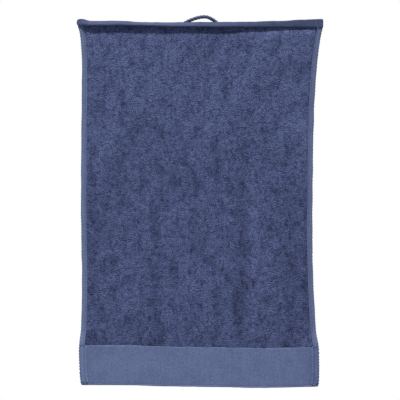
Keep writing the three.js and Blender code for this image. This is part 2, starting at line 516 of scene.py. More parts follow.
def thread_mesh(path: np.ndarray, radius: float, sides: int = 8,
                flatten: Callable[[np.ndarray], np.ndarray] | None = None) -> bpy.types.Mesh:
    """Make a round thread along a path.

    Args:
        path: Its places, one row each.
        radius: Half its thickness.
        sides: Faces round it.
        flatten: Moves the thread's places, such as to press it flat.

    Returns:
        The thread's mesh.
    """
    normals, binormals = path_frames(path)
    angles = np.linspace(0.0, 2.0 * math.pi, sides, endpoint=False)[None, :, None]
    rings = path[:, None, :] + radius * (
        np.cos(angles) * normals[:, None, :] + np.sin(angles) * binormals[:, None, :]
    )
    girth = np.linspace(0.0, 2.0 * math.pi * radius, sides + 1)
    return swept_mesh(flatten(rings) if flatten else rings, girth, walked_along(path))


def joined(meshes: Iterable[bpy.types.Mesh]) -> bpy.types.Mesh:
    """Return one mesh of several, which are used up."""
    bm = bmesh.new()
    for mesh in meshes:
        bm.from_mesh(mesh)
        bpy.data.meshes.remove(mesh)
    return taken_over(bm)


@dataclass(frozen=True)
class Stitches:
    """Sewn stitches in a row, each a plump thread that dives into the cloth at both ends."""

    length: float = 0.0032
    width: float = 0.0008
    proud: float = 0.0005

    def mesh(self, places: np.ndarray, along: np.ndarray, outward: np.ndarray) -> bpy.types.Mesh:
        """Make the row.

        Args:
            places: The middle of each stitch.
            along: The direction of each stitch.
            outward: The direction out of the cloth at each stitch.

        Returns:
            One mesh of all the stitches.
        """
        bm = bmesh.new()
        for place, run, out in zip(places, along, outward):
            run = Vector(run).normalized()
            side = run.cross(Vector(out)).normalized()
            out = side.cross(run)
            axes = Matrix((side * self.width / 2, out * self.proud, run * self.length / 2)).transposed()
            matrix = Matrix.Translation(Vector(place)) @ axes.to_4x4()
            bmesh.ops.create_uvsphere(bm, u_segments=8, v_segments=6, radius=1.0, matrix=matrix)
        bmesh.ops.recalc_face_normals(bm, faces=bm.faces[:])
        mesh = taken_over(bm)
        points = read_points(mesh)
        write_uv(mesh, points[:, 0], -points[:, 2])
        return mesh


# ---------------------------------------------------------------------------------------------
# Finishes
# ---------------------------------------------------------------------------------------------
def linear(code: str) -> tuple[float, float, float, float]:
    """Turn an sRGB hex colour into Blender's linear colour."""
    parts = [int(code[k:k + 2], 16) / 255.0 for k in (1, 3, 5)]
    return (*(p / 12.92 if p <= 0.04045 else ((p + 0.055) / 1.055) ** 2.4 for p in parts), 1.0)


def add_node(tree: bpy.types.NodeTree, kind: str, inputs: dict | None = None,
             **settings: object) -> bpy.types.Node:
    """Add a node to a tree.

    Args:
        tree: The tree.
        kind: The node's type name, without the leading ShaderNode.
        inputs: A value or an output socket for each input, by name or number.
        **settings: Properties of the node.

    Returns:
        The new node.
    """
    node = tree.nodes.new(f"ShaderNode{kind}")
    for name, value in settings.items():
        setattr(node, name, value)
    for name, value in (inputs or {}).items():
        socket = node.inputs[name]
        if isinstance(value, bpy.types.NodeSocket):
            tree.links.new(value, socket)
        else:
            socket.default_value = value
    return node


def reckoned(tree: bpy.types.NodeTree, operation: str, *values: object) -> bpy.types.NodeSocket:
    """Return what a Math node makes of numbers and sockets."""
    return add_node(tree, "Math", dict(enumerate(values)), operation=operation).outputs[0]


def carried(tree: bpy.types.NodeTree, name: str) -> bpy.types.NodeSocket:
    """Return the named number that each vertex of the mesh carries."""
    return add_node(tree, "Attribute", attribute_name=name).outputs["Fac"]


@dataclass(frozen=True)
class Finish:
    """What every finish of the towel has: a name and a soft, rough surface."""

    name: str
    roughness: float = 0.95
    sheen: float = 0.15

    def build(self) -> bpy.types.Material:
        """Make the material."""
        material = bpy.data.materials.new(self.name)
        material.use_nodes = True
        tree = material.node_tree
        tree.nodes.clear()
        uv = add_node(tree, "UVMap", uv_map=CLOTH_UV).outputs["UV"]
        colour, bump = self.pattern(tree, uv)
        shader = add_node(tree, "BsdfPrincipled", {
            "Base Color": colour, "Normal": bump, "Roughness": self.roughness,
            "Specular IOR Level": 0.25, "Sheen Weight": self.sheen, "Sheen Roughness": 0.6,
        })
        add_node(tree, "OutputMaterial", {"Surface": shader.outputs["BSDF"]})
        return material

    def pattern(self, tree: bpy.types.NodeTree, uv: bpy.types.NodeSocket) -> tuple:
        """Return the sockets of the colour and of the bumped normal."""
        raise NotImplementedError

    def noise(self, tree: bpy.types.NodeTree, uv: bpy.types.NodeSocket, size_mm: float,
              stretch: float = 1.0, detail: float = 2.0) -> bpy.types.NodeSocket:
        """Return noise whose blotches have a size in millimetres, drawn out down the cloth."""
        scaled = add_node(tree, "Mapping", {
            "Vector": uv, "Scale": (1.0 / (size_mm * MM), 1.0 / (size_mm * MM * stretch), 1.0),
        })
        texture = add_node(tree, "TexNoise", {
            "Vector": scaled.outputs["Vector"], "Scale": 1.0, "Detail": detail, "Roughness": 0.55,
        })
        return texture.outputs["Fac"]

    def total(self, tree: bpy.types.NodeTree, parts: dict) -> bpy.types.NodeSocket:
        """Return a weighted sum of sockets, given as {socket: weight}."""
        running = 0.0
        for socket, weight in parts.items():
            running = reckoned(tree, "MULTIPLY_ADD", socket, weight, running)
        return running

    def ramp(self, tree: bpy.types.NodeTree, factor: bpy.types.NodeSocket,
             stops: Sequence[tuple[float, str]]) -> bpy.types.NodeSocket:
        """Return a colour that runs through stops as the factor goes from 0 to 1."""
        node = add_node(tree, "ValToRGB", {"Fac": factor})
        elements = node.color_ramp.elements
        while len(elements) < len(stops):
            elements.new(0.5)
        for element, (place, code) in zip(elements, stops):
            element.position, element.color = place, linear(code)
        return node.outputs["Color"]

    def bumped(self, tree: bpy.types.NodeTree, height: bpy.types.NodeSocket,
               relief_mm: float) -> bpy.types.NodeSocket:
        """Return the normal of a surface with that relief."""
        node = add_node(tree, "Bump", {"Height": height, "Distance": relief_mm * MM, "Strength": 1.0})
        return node.outputs["Normal"]


@dataclass(frozen=True)
class TerryPile(Finish):
    """Cotton terry, woven with uncut loops: soft and mottled, its colour running from painted shade in
    the gaps between its loops to painted light on their tips, through noise that is partly its own uneven
    tone and partly painted shade among the loops.
    """

    sheen: float = 0.05
    # The darkest colour is painted shade in the gaps between the loops; the lightest is painted light on
    # the loop tips.
    painted_gap_shade: str = "#121733"
    middle: str = "#3f486e"
    tip: str = "#68749b"
    loop_mm: float = 1.7  # real loops are about 1 mm apart; drawn coarser so that they show
    grain_mm: float = 1.5
    clump_mm: float = 5.0
    mottle_mm: float = 17.0
    drift_mm: float = 75.0
    # How strongly the painted shade darkens the pile's tone.
    crushing: float = 0.06
    level: float = 1.925  # what the sum of the noises is lowered by, to lie between 0 and 1
    ceiling: float = 0.52

    def pattern(self, tree: bpy.types.NodeTree, uv: bpy.types.NodeSocket) -> tuple:
        """Return the sockets of the colour and of the bumped normal."""
        grain = self.noise(tree, uv, self.grain_mm, 1.15, 2.0)
        clump = self.hollows(tree, self.noise(tree, uv, self.clump_mm, 1.5))
        mottle = self.hollows(tree, self.noise(tree, uv, self.mottle_mm, 1.9))
        drift = self.noise(tree, uv, self.drift_mm, 1.6)
        # Both attributes are painted: relief lightens the tone where the pile stands up and darkens it in
        # its hollows, and the painted shade darkens it below the hem and in lines down the towel.
        tone = self.total(tree, {
            grain: 1.95, clump: 1.35, mottle: 1.05, drift: 0.35, carried(tree, "relief"): 0.3,
            carried(tree, "painted_shade"): -self.crushing,
        })
        middle = reckoned(tree, "SUBTRACT", tone, self.level)
        colour = self.ramp(tree, middle, [(0.0, self.painted_gap_shade), (0.5, self.middle), (1.0, self.tip)])
        scaled = add_node(tree, "Mapping", {
            "Vector": uv, "Scale": (1.0 / (self.loop_mm * MM),) * 3,
        })
        loops = add_node(tree, "TexVoronoi", {
            "Vector": scaled.outputs["Vector"], "Scale": 1.0, "Randomness": 0.9,
        }, feature="SMOOTH_F1")
        height = self.total(tree, {loops.outputs["Distance"]: -0.9, grain: 0.8})
        return colour, self.bumped(tree, height, 0.6)

    def hollows(self, tree: bpy.types.NodeTree, noise: bpy.types.NodeSocket) -> bpy.types.NodeSocket:
        """Return the noise with its heights cut off, which leaves dark hollows in an even field."""
        return reckoned(tree, "MINIMUM", noise, self.ceiling)


@dataclass(frozen=True)
class FlatWeave(Finish):
    """Cotton woven flat, with fine cords running down the towel and no pile."""

    dark: str = "#4e5a7e"
    light: str = "#647195"
    # The colour of painted shade, mixed in as far as a piece's turn number says.
    turn: str = "#2b3970"
    rib_mm: float = 1.6  # real cords are about 0.7 mm apart; drawn coarser so that they show
    pick_mm: float = 1.1
    level: float = 3.05

    def pattern(self, tree: bpy.types.NodeTree, uv: bpy.types.NodeSocket) -> tuple:
        """Return the sockets of the colour and of the bumped normal."""
        ribs, picks = (
            add_node(tree, "TexWave", {
                "Vector": uv, "Scale": math.pi / 10.0 / (pitch_mm * MM), "Distortion": 0.0,
            }, wave_type="BANDS", bands_direction=direction).outputs["Fac"]
            for pitch_mm, direction in ((self.rib_mm, "X"), (self.pick_mm, "Y"))
        )
        fine = self.noise(tree, uv, 2.2, 1.6, 3.0)
        blotch = self.noise(tree, uv, 18.0, 1.4)
        streak = self.noise(tree, uv, 5.0, 8.0)
        # The lift number carries a broad tone, and on the hems painted highlights and painted shade.
        tone = self.total(tree, {ribs: 0.9, picks: 0.3, fine: 3.7, blotch: 1.3, streak: 0.9,
                                 carried(tree, "lift"): 1.0})
        middle = reckoned(tree, "SUBTRACT", tone, self.level)
        plain = self.ramp(tree, middle, [(0.0, self.dark), (1.0, self.light)])
        mixed = add_node(tree, "Mix", {
            "Factor": carried(tree, "turn"), 6: plain, 7: linear(self.turn),
        }, data_type="RGBA")
        height = self.total(tree, {ribs: 0.6, picks: 0.4, fine: 0.5})
        return mixed.outputs[2], self.bumped(tree, height, 0.16)


@dataclass(frozen=True)
class SewingThread(Finish):
    """Polyester sewing thread, spun and slightly glossy."""

    dark: str = "#2a345a"
    light: str = "#404b73"
    roughness: float = 0.6

    def pattern(self, tree: bpy.types.NodeTree, uv: bpy.types.NodeSocket) -> tuple:
        """Return the sockets of the colour and of the bumped normal."""
        spun = self.noise(tree, uv, 0.8, 2.0)
        return self.ramp(tree, spun, [(0.3, self.dark), (0.7, self.light)]), self.bumped(tree, spun, 0.05)


@dataclass(frozen=True)
class TwistedCord(Finish):
    """Cotton cord laid from three strands, each of many fine yarns that catch the light."""

    dark: str = "#191e39"
    light: str = "#4b557a"
    yarns: float = 7.0
    yarn_lay_mm: float = 7.0
    roughness: float = 0.75

    def pattern(self, tree: bpy.types.NodeTree, uv: bpy.types.NodeSocket) -> tuple:
        """Return the sockets of the colour and of the bumped normal."""
        parts = add_node(tree, "SeparateXYZ", {"Vector": uv})
        slant = self.yarns / (self.yarn_lay_mm * MM)
        turn = self.total(tree, {parts.outputs["X"]: slant, parts.outputs["Y"]: self.yarns})
        yarn = reckoned(tree, "SINE", reckoned(tree, "MULTIPLY", turn, 2.0 * math.pi))
        fibre = self.noise(tree, uv, 1.2, 1.0)
        tone = self.total(tree, {yarn: 0.22, fibre: 1.0})
        return self.ramp(tree, tone, [(0.1, self.dark), (0.9, self.light)]), self.bumped(tree, tone, 0.12)


@dataclass
class Finishes:
    """The towel's materials, each made once."""

    pile: bpy.types.Material = field(default_factory=lambda: TerryPile(
        "cotton terry loop pile").build())
    border: bpy.types.Material = field(default_factory=lambda: FlatWeave(
        "cotton flat weave").build())
    hem: bpy.types.Material = field(default_factory=lambda: FlatWeave(
        "cotton flat weave turned hem", dark="#4e5a7c", light="#647193", rib_mm=1.2).build())
    # The rolled hem's very dark turn colour is its painted shade.
    roll: bpy.types.Material = field(default_factory=lambda: FlatWeave(
        "cotton flat weave rolled hem", dark="#2e3857", light="#3e4868", rib_mm=1.3,
        turn="#101a45").build())
    thread: bpy.types.Material = field(default_factory=lambda: SewingThread(
        "spun sewing thread").build())
    # A lighter copy of the sewing thread, painted light on the bar tacks at the corners.
    tack: bpy.types.Material = field(default_factory=lambda: SewingThread(
        "spun sewing thread close set", dark="#4c587a", light="#667395").build())
    cord: bpy.types.Material = field(default_factory=lambda: TwistedCord(
        "three-strand cotton cord").build())


# ---------------------------------------------------------------------------------------------
# The cloth and its pieces
# ---------------------------------------------------------------------------------------------
@dataclass
class Cloth:
    """The hanging cloth's shape, shared by all that is sewn to it."""

    outline: Outline
    drape: Drape
    finishes: Finishes
    advance: float = 0.0019  # the thin border lies flush with the tips of the pile above it

    def place(self, x: np.ndarray, depth: np.ndarray, out: np.ndarray) -> np.ndarray:
        """Return places on the cloth.

        Args:
            x: Distances across the towel.
            depth: Distances down the towel.
            out: Distances from the cloth's middle plane, towards the back.

        Returns:
            The places, with a last axis of 3.
        """
        x, depth, out = np.broadcast_arrays(x, depth, out)
        middle = self.drape.at(x, depth) - self.advance * self.thinning(depth)
        return np.stack([x, middle + out, self.outline.height(x, depth)], axis=-1)

    def thinning(self, depth: np.ndarray) -> np.ndarray:
        """Return how far the cloth has gone from terry, 0, to the flat border, 1."""
        return smooth_step(depth, self.outline.border_depth - 0.026, self.outline.border_depth)

    def sewn(self, stitches: Stitches, x: np.ndarray, depth: np.ndarray, rests: Sequence[float],
             along: np.ndarray | None = None) -> bpy.types.Mesh:
        """Make a row of stitches on each face of the cloth.

        Args:
            stitches: The kind of stitch.
            x: Distances across the towel, one for each stitch.
            depth: Distances down the towel.
            rests: How far out of the cloth's middle plane the front row and the back row rest.
            along: The direction of each stitch, or None where each runs on to the next.

        Returns:
            One mesh of both rows.
        """
        rows = []
        for face, rest in zip(Face, rests):
            places = self.place(x, depth, face.value * rest)
            run = np.gradient(places, axis=0) if along is None else along
            normals = np.tile([0.0, float(face.value), 0.0], (len(places), 1))
            rows.append(stitches.mesh(places, run, normals))
        return joined(rows)

    def bend(self, piece: bpy.types.Object, reach: float = 0.018) -> bpy.types.Object:
        """Bake the piece's transform into its mesh, and return it; the piece is not bent at the fold, and
        reach is not used.
        """
        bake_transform(piece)
        return piece


@dataclass(frozen=True)
class HemLine:
    """Where the rolled hem's upper and lower edges run, and how far it stands out in front."""

    upper: Curve = Curve((
        (-204, -3.0), (-201, -2.2), (-198, -1.5), (-191, -1.5), (-187, -3.3), (-182, -4.6), (-174, -4.9),
        (-148, -4.4), (-134, -4.8), (-121, -5.1), (-108, -6.2), (-95, -6.7), (-65, -7.0), (-42, -7.0),
        (-29, -6.7), (37, -6.4), (76, -6.2), (90, -5.9), (103, -5.1), (116, -4.8), (143, -4.4),
        (156, -3.3), (169, -2.6), (182, -2.0), (195, -1.5), (204, -1.6)), ease=7)
    lower: Curve = Curve((
        (-204, -12.6), (-95, -12.9), (-50, -14.4), (0, -15.0), (100, -15.2), (170, -15.6), (188, -15.9),
        (193, -16.6), (204, -16.7)))
    front: Curve = Curve(((-204, 2.0), (-197, 2.6), (-190, 5.0), (-180, 5.8), (-60, 5.6), (50, 5.3),
                          (90, 4.1), (130, 3.1), (170, 2.6), (184, 2.3), (204, 2.0)))
    tilt: Curve = Curve(((-204, 500), (-185, 720), (40, 720), (100, 380), (150, 160), (204, 120)))
    tone: Curve = Curve(((-204, 250), (-112, 300), (-85, 450), (-42, 500), (-10, 0), (25, -300),
                         (100, -400), (204, -350)), ease=31)


@dataclass
class TerryField:
    """The terry cloth: a woven ground with loop pile on its front and on its back."""

    cloth: Cloth
    hem_line: HemLine
    columns: int = 256
    rows: int = 352
    inner_share: int = 4
    pile: float = 0.00235
    ground: float = 0.00018
    start: float = 0.0065
    hem_overlap: float = 0.0012
    hem_width: float = 0.009
    cut_size: tuple[float, float] = (0.406, 0.610)
    grain: Unevenness = Unevenness(0.0027, seed=3, stretch=1.1)
    clump: Unevenness = Unevenness(0.0065, seed=8, stretch=1.5)
    mottle: Unevenness = Unevenness(0.028, seed=5, stretch=1.9)
    # Painted shade in lines down the towel, where soft folds and a crease shade the pile.
    laid: Curve = Curve((
        (-204, 600), (-178, 500), (-155, 0), (-140, 100), (-110, 0), (-96, 400), (-86, 0), (-72, 1000),
        (-55, -500), (-40, 0), (-30, -300), (-12, 0), (35, -100), (50, -300), (60, 400), (69, 1800),
        (77, 400), (87, -700), (100, 100), (125, 300), (147, 1100), (165, 500), (204, 300)), ease=9)

    def build(self) -> list[bpy.types.Object]:
        """Make the ground cloth and both piles, the ground first."""
        pieces = [self.ground_cloth(), self.pile_sheet(Face.FRONT), self.pile_sheet(Face.BACK)]
        for piece in pieces:
            self.cloth.bend(piece)
        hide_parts("terry_field_upper", "terry_field_lower")
        return pieces

    def ground_cloth(self, pitch: float = 0.006, inset: float = 0.0012) -> bpy.types.Object:
        """Make the woven ground, which carries the pile and runs into every hem."""
        outline = self.cloth.outline
        across = np.linspace(0.0, 1.0, round(2 * outline.half_width / pitch) + 1)
        down = np.linspace(self.start, outline.length - inset, round(outline.length / pitch) + 1)
        mesh, share, depth, layer = Strip(across, down).mesh()
        x, _, _ = outline.between(share, depth, inset)
        write_points(mesh, self.cloth.place(x, depth, self.ground * (2 * layer - 1)))
        write_uv(mesh, x, depth)
        write_value(mesh, "turn", np.zeros(len(x)))
        return finish_object("woven_ground_cloth", outward(mesh), self.cloth.finishes.border)

    def pile_sheet(self, face: Face) -> bpy.types.Object:
        """Make the pile of one face, closed against the ground by a coarser inner face."""
        inner = self.inner_share
        outer_mesh = self._pile_face(face, self.columns, self.rows, face.value)
        inner_mesh = self._pile_face(face, self.columns // inner, self.rows // inner, 0)
        bm = bmesh.new()
        for mesh in (outer_mesh, inner_mesh):
            bm.from_mesh(mesh)
            bpy.data.meshes.remove(mesh)
        bmesh.ops.bridge_loops(bm, edges=[edge for edge in bm.edges if edge.is_boundary])
        bmesh.ops.recalc_face_normals(bm, faces=bm.faces[:])
        name = f"{face.name.lower()}_terry_pile"
        return finish_object(name, taken_over(bm), self.cloth.finishes.pile)

    def _pile_face(self, face: Face, columns: int, rows: int, lift: int) -> bpy.types.Mesh:
        """Make one face of a pile.

        Args:
            face: The face of the cloth that the pile is on.
            columns: Cells across.
            rows: Cells down.
            lift: The face's sign for the side that shows, or 0 for the side on the ground.

        Returns:
            The face's mesh.
        """
        outline = self.cloth.outline
        down = np.linspace(self.start, outline.border_depth + 0.0004, rows + 1)
        mesh, share, depth, _ = Strip(np.linspace(0.0, 1.0, columns + 1), down, closed=False).mesh()
        x, from_left, from_right = outline.between(share, depth, self.hem_width - self.hem_overlap)
        grain, clump = self.grain.at(x, depth), self.clump.at(x, depth)
        mottle = self.mottle.at(x, depth)
        foot = outline.height(x, 0.0) - self.hem_line.lower.at(x)
        # Painted shadow of the rolled hem on the pile below it, longer where the hem stands further out,
        # on the front only.
        reach = 4.3 * (self.hem_line.front.at(x) - self.pile)
        shade = 1.0 - smooth_step(depth, foot + 0.4 * reach, foot + reach)
        shade_lines = self._lie(x, depth)
        shade = shade * (face is Face.FRONT) + shade_lines
        if lift:
            out = self._standing(face, np.minimum(from_left, from_right), x, depth)
            out *= 1.0 + 0.065 * grain + 0.06 * clump + 0.05 * mottle - 0.05 * shade_lines
            out = face.value * (self.ground + out)
        else:
            out = np.full(len(x), face.value * self.ground)
        ragged = 0.0008 * Unevenness(0.0045, seed=61).at(x, 0.0)
        ragged = ragged * smooth_step(depth, outline.border_depth - 0.008, outline.border_depth)
        write_points(mesh, self.cloth.place(x, depth + ragged, out))
        write_uv(mesh, x, depth)
        # The pile's colour follows the height of its bumps: painted shade in its hollows and painted
        # light where it stands up.
        write_value(mesh, "relief", 0.5 + 0.5 * (0.6 * grain + 0.4 * clump))
        write_value(mesh, "painted_shade", shade)
        return mesh

    def _lie(self, x: np.ndarray, depth: np.ndarray) -> np.ndarray:
        """Return painted shade: lighter near the top, darker from about a quarter of the way down and
        again towards the foot, and in lines down the towel where soft folds and a crease shade the pile.
        """
        foot = 0.95 * smooth_step(depth, 0.14, 0.24) + 0.45 * smooth_step(depth, 0.40, 0.52)
        return foot - 0.15 + 1.5 * self.laid.at(x) * smooth_step(depth, 0.22, 0.34)

    def _standing(self, face: Face, from_rim: np.ndarray, x: np.ndarray, depth: np.ndarray,
                  soft: float = 0.0035) -> np.ndarray:
        """Return the height of the pile, which is pressed down at the hems and the border.

        Args:
            face: The face of the cloth that the pile is on.
            from_rim: Distances from the nearer side rim of the pile.
            x: Distances across the towel.
            depth: Distances down the towel.
            soft: How far from a rim the pile reaches its height.

        Returns:
            The heights.
        """
        outline = self.cloth.outline
        foot = outline.height(x, 0.0) - self.hem_line.lower.at(x)
        pressed, rise = (0.22, 0.014) if face is Face.FRONT else (0.60, 0.005)
        under_hem = pressed + (1.0 - pressed) * smooth_step(depth, foot - 0.001, foot + rise)
        rounded = np.sqrt(smooth_step(from_rim, 0.0, soft))
        border = np.sqrt(smooth_step(outline.border_depth + 0.0004 - depth, 0.0, 0.0018))
        start = smooth_step(depth, self.start, self.start + 0.002)
        pile = self.pile - self.cloth.advance * self.cloth.thinning(depth)
        return pile * under_hem * rounded * border * start


def outward(mesh: bpy.types.Mesh) -> bpy.types.Mesh:
    """Turn the faces of a closed mesh outwards, and return it."""
    bm = bmesh.new()
    bm.from_mesh(mesh)
    bmesh.ops.recalc_face_normals(bm, faces=bm.faces[:])
    bpy.data.meshes.remove(mesh)
    return taken_over(bm)


@dataclass
class SideHem:
    """A long edge, turned twice and sewn down, with its row of stitches on both faces."""

    cloth: Cloth
    side: Side
    half_thickness: float = 0.00148
    seam_inset: float = 0.0066
    border_seam: float = 0.0082
    inner_ridge: float = 0.0106
    narrow: float = 0.009
    wide: float = 0.0122
    pitch: float = 0.0016
    scallop: float = 0.0050
    first_stitch: float = 0.0165
    stitch_pitch: float = 0.0044
    stitches: Stitches = Stitches(length=0.0031, width=0.0010, proud=0.00045)

    # Distance from the outer edge and height, in mm and in shares of half the thickness.
    SECTION = ((0.0, 0.0), (0.12, 0.42), (0.45, 0.74), (1.0, 0.93), (1.9, 1.0), (3.2, 1.0), (4.6, 0.97),
               (5.6, 0.90), (6.2, 0.74), (6.6, 0.66), (7.0, 0.76), (7.5, 0.98), (8.1, 1.08), (8.6, 0.98),
               (8.9, 0.60), (9.0, 0.20))

    def build(self) -> list[bpy.types.Object]:
        """Make the turned edge and its stitches."""
        name = self.side.name.lower()
        pieces = [self.turned_edge(f"{name}_turned_edge"), self.seam(f"{name}_edge_stitches")]
        for piece in pieces:
            self.cloth.bend(piece)
        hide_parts(f"{name}_side_hem_upper", f"{name}_side_hem_lower")
        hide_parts(f"{name}_hem_stitching_upper", f"{name}_hem_stitching_lower")
        return pieces

    def on_border(self, depth: np.ndarray) -> np.ndarray:
        """Return how far the hem has passed from the terry, 0, to the flat border, 1."""
        border = self.cloth.outline.border_depth
        return smooth_step(depth, border - 0.002, border + 0.003)

    def width(self, depth: np.ndarray) -> np.ndarray:
        """Return the hem's width: it is wider where it is turned over the flat border."""
        return self.narrow + (self.wide - self.narrow) * self.on_border(depth)

    def seam_line(self, depth: np.ndarray) -> np.ndarray:
        """Return how far in the seam runs: further on the border, and never quite straight."""
        wander = 0.0003 * Unevenness(0.019, seed=71 + self.side.value).at(depth, np.zeros_like(depth))
        return self.seam_inset + wander + (self.border_seam - self.seam_inset) * self.on_border(depth)

    def turned_edge(self, name: str) -> bpy.types.Object:
        """Make the folded strip."""
        outline = self.cloth.outline
        depth = np.arange(0.004, outline.length - 0.0006, self.pitch)
        section = np.array(self.SECTION)
        distance = np.concatenate([section[:, 0], section[:0:-1, 0]]) * MM
        lift = np.concatenate([-section[:, 1], section[:0:-1, 1]])
        rows, places = np.meshgrid(depth, np.arange(len(distance)), indexing="ij")
        seam, u = self.seam_line(rows), distance[places]
        beyond = (self.width(rows) - seam) / (self.narrow - self.seam_inset)
        past_seam = seam + (u - self.seam_inset) * beyond
        u = np.where(u > self.seam_inset, past_seam, u * seam / self.seam_inset)
        noise = Unevenness(0.011, seed=11 + self.side.value)
        on_border = self.on_border(rows)
        wave = np.sin(2 * math.pi * rows / self.scallop + 2.0 * noise.at(rows, rows * 0))
        waver = (0.00040 + 0.00030 * on_border) * wave
        waver += 0.00045 * noise.at(rows * 0.5, rows * 0 + 0.3)
        u = u + waver * (1.0 - smooth_step(u, 0.0, 0.004))
        x = outline.inset(self.side, rows, u)
        bumps = 1.0 + 0.05 * Unevenness(0.006, seed=21).at(x, rows) + 0.035 * np.sin(
            2 * math.pi * rows / self.stitch_pitch)
        ridge = 1.0 + 0.28 * on_border * smooth_step(u, seam + 0.001, seam + 0.003)
        ridge = ridge * (1.0 - 0.8 * smooth_step(rows, outline.length - 0.005, outline.length - 0.001))
        out = lift[places] * self.half_thickness * bumps * ridge
        rings = self.cloth.place(x, rows, out)
        # The turn number is painted shade: along the outer fold, at the stitches on the border, across
        # the hem where it reaches the border, and in the dips of its scallops.
        turn = 1.0 - smooth_step(distance[places], 0.0004, 0.0012)
        dots = 0.5 + 0.5 * np.cos(2 * math.pi * (rows - self.first_stitch) / self.stitch_pitch)
        lit = self.side is Side.LEFT
        turn += (0.35 if lit else 1.0) * on_border * dots**2 * bell(u - seam, 0.0014)
        turn += 0.8 * bell(rows - outline.border_depth, 0.0013)
        turn += 0.85 * on_border * (0.5 - 0.5 * wave) * bell(u, 0.0020)
        # Painted highlight on the inner ridge over the border, painted light along the left hem and
        # painted shade along the right one.
        painted_light_and_shade = 0.6 * on_border * bell(u - self.inner_ridge, 0.0012)
        painted_light_and_shade += 0.35 + 0.45 * on_border if lit else -0.2 - 0.15 * on_border
        around = np.concatenate([distance, [0.0]]) + 0.02 * np.concatenate([lift > 0, [True]])
        mesh = swept_mesh(rings, around, depth, {"turn": np.clip(turn, 0.0, 1.0), "lift": painted_light_and_shade})
        return finish_object(name, mesh, self.cloth.finishes.hem)

    def seam(self, name: str) -> bpy.types.Object:
        """Make the stitches of both faces."""
        outline = self.cloth.outline
        depth = np.arange(self.first_stitch, outline.length - 0.005, self.stitch_pitch)
        x = outline.inset(self.side, depth, self.seam_line(depth))
        rest = self.half_thickness * 0.70
        mesh = self.cloth.sewn(self.stitches, x, depth, (rest, rest))
        return finish_object(name, mesh, self.cloth.finishes.thread)


